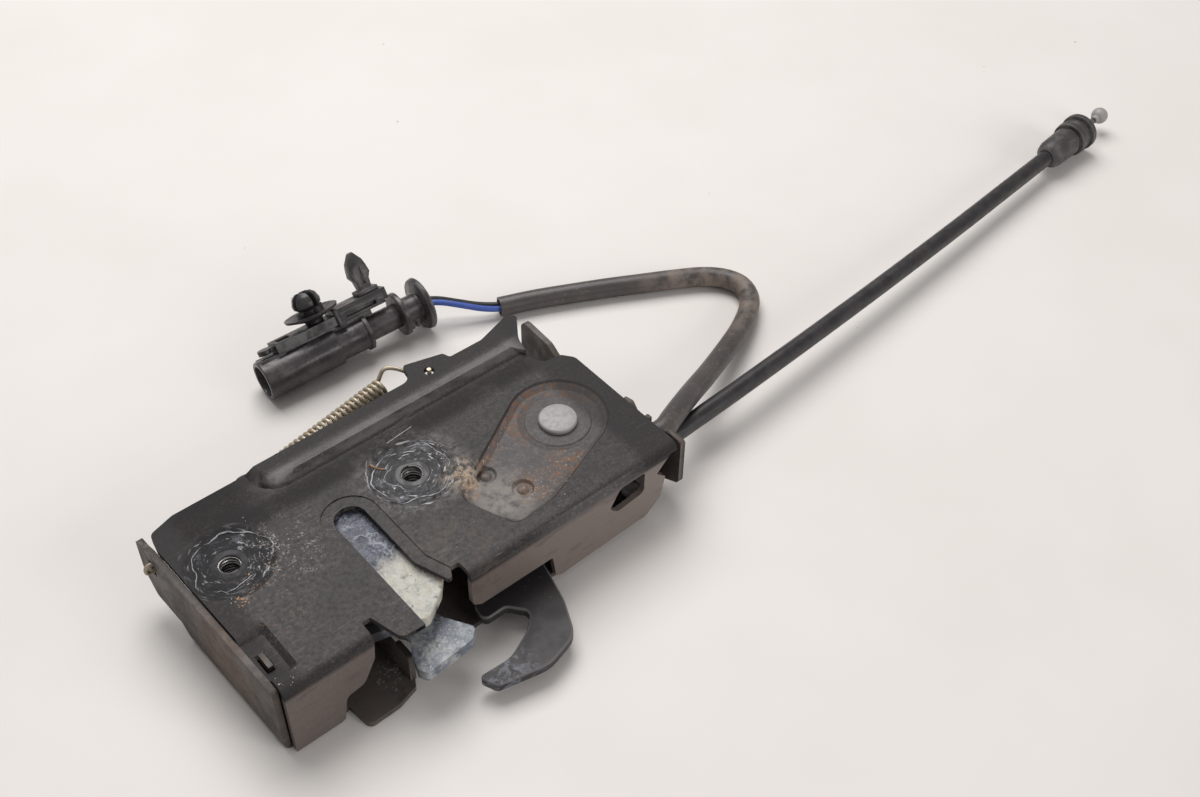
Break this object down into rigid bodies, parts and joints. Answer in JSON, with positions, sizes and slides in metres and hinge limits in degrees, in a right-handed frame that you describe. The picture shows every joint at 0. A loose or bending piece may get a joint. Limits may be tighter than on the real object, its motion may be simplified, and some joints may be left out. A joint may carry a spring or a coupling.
{
  "type": "bonnet latch",
  "caption": "Vehicle bonnet latch: folded steel case with a claw, safety hook, release lever and springs, a contact switch lead and a pull cable with a ball end.",
  "frame": {"origin": "on the rest face of the back plate, on the striker slot's centre line, 58 mm in from the fold corner", "axes": "+X along the folded edge towards the cable, +Y away from the striker mouth, +Z out of the front plate"},
  "size_m": [0.4348, 0.1693, 0.0343],
  "materials": {
    "case_coat": "worn black coating with dust and rust specks",
    "back_steel": "worn dark coating with brown staining",
    "hook_coat": "smooth black coating, scuffed at the tip",
    "zinc": "bright zinc, dull with handling",
    "thread_steel": "greased and stained steel",
    "pin_steel": "turned steel",
    "claw_steel": "hardened steel under blue-grey grease",
    "lever_steel": "dark stamped steel",
    "claw_moulding": "moulded cover under blue-grey and cream grease",
    "spring_wire": "tan plated spring wire",
    "switch_black": "moulded black plastic",
    "plunger_white": "moulded pale plastic",
    "sleeve_black": "flexible black sleeve with brown dust",
    "blue_insulation": "blue wire insulation",
    "black_insulation": "black wire insulation",
    "cable_black": "smooth black sheath",
    "fitting_plastic": "moulded dark plastic with pale dust",
    "connector_gloss": "glossy moulded black plastic",
    "clip_matte": "matte moulded black plastic, dusty",
    "terminal_brass": "plated terminals"
  },
  "bodies": {
    "frame": {"front_plate": "case_coat", "back_plate": "back_steel", "main_rivet": "zinc", "weld_nut": "thread_steel", "threaded_bush": "thread_steel", "claw_pin": "pin_steel", "claw_circlip": "pin_steel", "hook_pin": "pin_steel", "pawl_spacer": "pin_steel", "switch_screws": "pin_steel", "lift_spring": "spring_wire", "pawl_spring": "spring_wire", "release_spring": "spring_wire", "hook_spring": "spring_wire", "switch_body": "switch_black", "switch_cover": "switch_black", "switch_lead": "sleeve_black", "wiring_sleeve": "sleeve_black", "wire_blue": "blue_insulation", "wire_black": "black_insulation", "cable_outer": "cable_black", "cable_ferrule": "cable_black", "end_fitting": "fitting_plastic", "end_collar": "fitting_plastic", "connector_housing": "connector_gloss", "connector_cap": "connector_gloss", "clip_carrier": "clip_matte", "rosette_clip": "clip_matte", "fir_tree_clip": "clip_matte", "terminal_pins": "terminal_brass"},
    "claw": {"claw_plate": "claw_steel", "claw_cover": "claw_moulding"},
    "pawl": {"pawl": "lever_steel"},
    "release": {"release_lever": "lever_steel", "release_stud": "zinc"},
    "hook": {"safety_hook": "hook_coat"},
    "cable_core": {"cable_wire": "pin_steel", "lever_nipple": "zinc", "ball_nipple": "zinc"},
    "switch_button": {"switch_plunger": "plunger_white"}
  },
  "joints": [
    {"name": "claw_pivot", "type": "hinge", "parent": "frame", "child": "claw", "pos_m": [-0.0305, -0.042, 0.016], "axis": [0, 0, 1], "range_deg": [-6, 26], "deforming": ["lift_spring"]},
    {"name": "release_pivot", "type": "hinge", "parent": "frame", "child": "release", "pos_m": [0.0745, -0.0262, 0.01], "axis": [0, 0, 1], "range_deg": [0, 14], "stiffness_Nm_per_rad": 0.3, "springref_deg": -8.59, "deforming": ["release_spring"]},
    {"name": "pawl_pivot", "type": "hinge", "parent": "frame", "child": "pawl", "pos_m": [0.0249, -0.016, 0.016], "axis": [0, 0, 1], "range_deg": [-20, 0], "deforming": ["pawl_spring"]},
    {"name": "hook_pivot", "type": "hinge", "parent": "frame", "child": "hook", "pos_m": [0.0425, -0.033, 0.006], "axis": [0, 0, 1], "range_deg": [-12, 3], "stiffness_Nm_per_rad": 0.3, "deforming": ["hook_spring"]},
    {"name": "cable_pull", "type": "slide", "parent": "frame", "child": "cable_core", "axis": [0.9959, 0.088, -0.0233], "range_m": [0, 0.0056]},
    {"name": "switch_press", "type": "slide", "parent": "frame", "child": "switch_button", "axis": [0, 1, 0], "range_m": [0, 0.002], "stiffness_N_per_m": 300, "springref_m": -0.001}
  ],
  "couplings": [
    {"joint": "pawl_pivot", "follows": "release_pivot", "ratio": -1.35},
    {"joint": "cable_pull", "follows": "release_pivot", "m_per_rad": 0.0212}
  ]
}
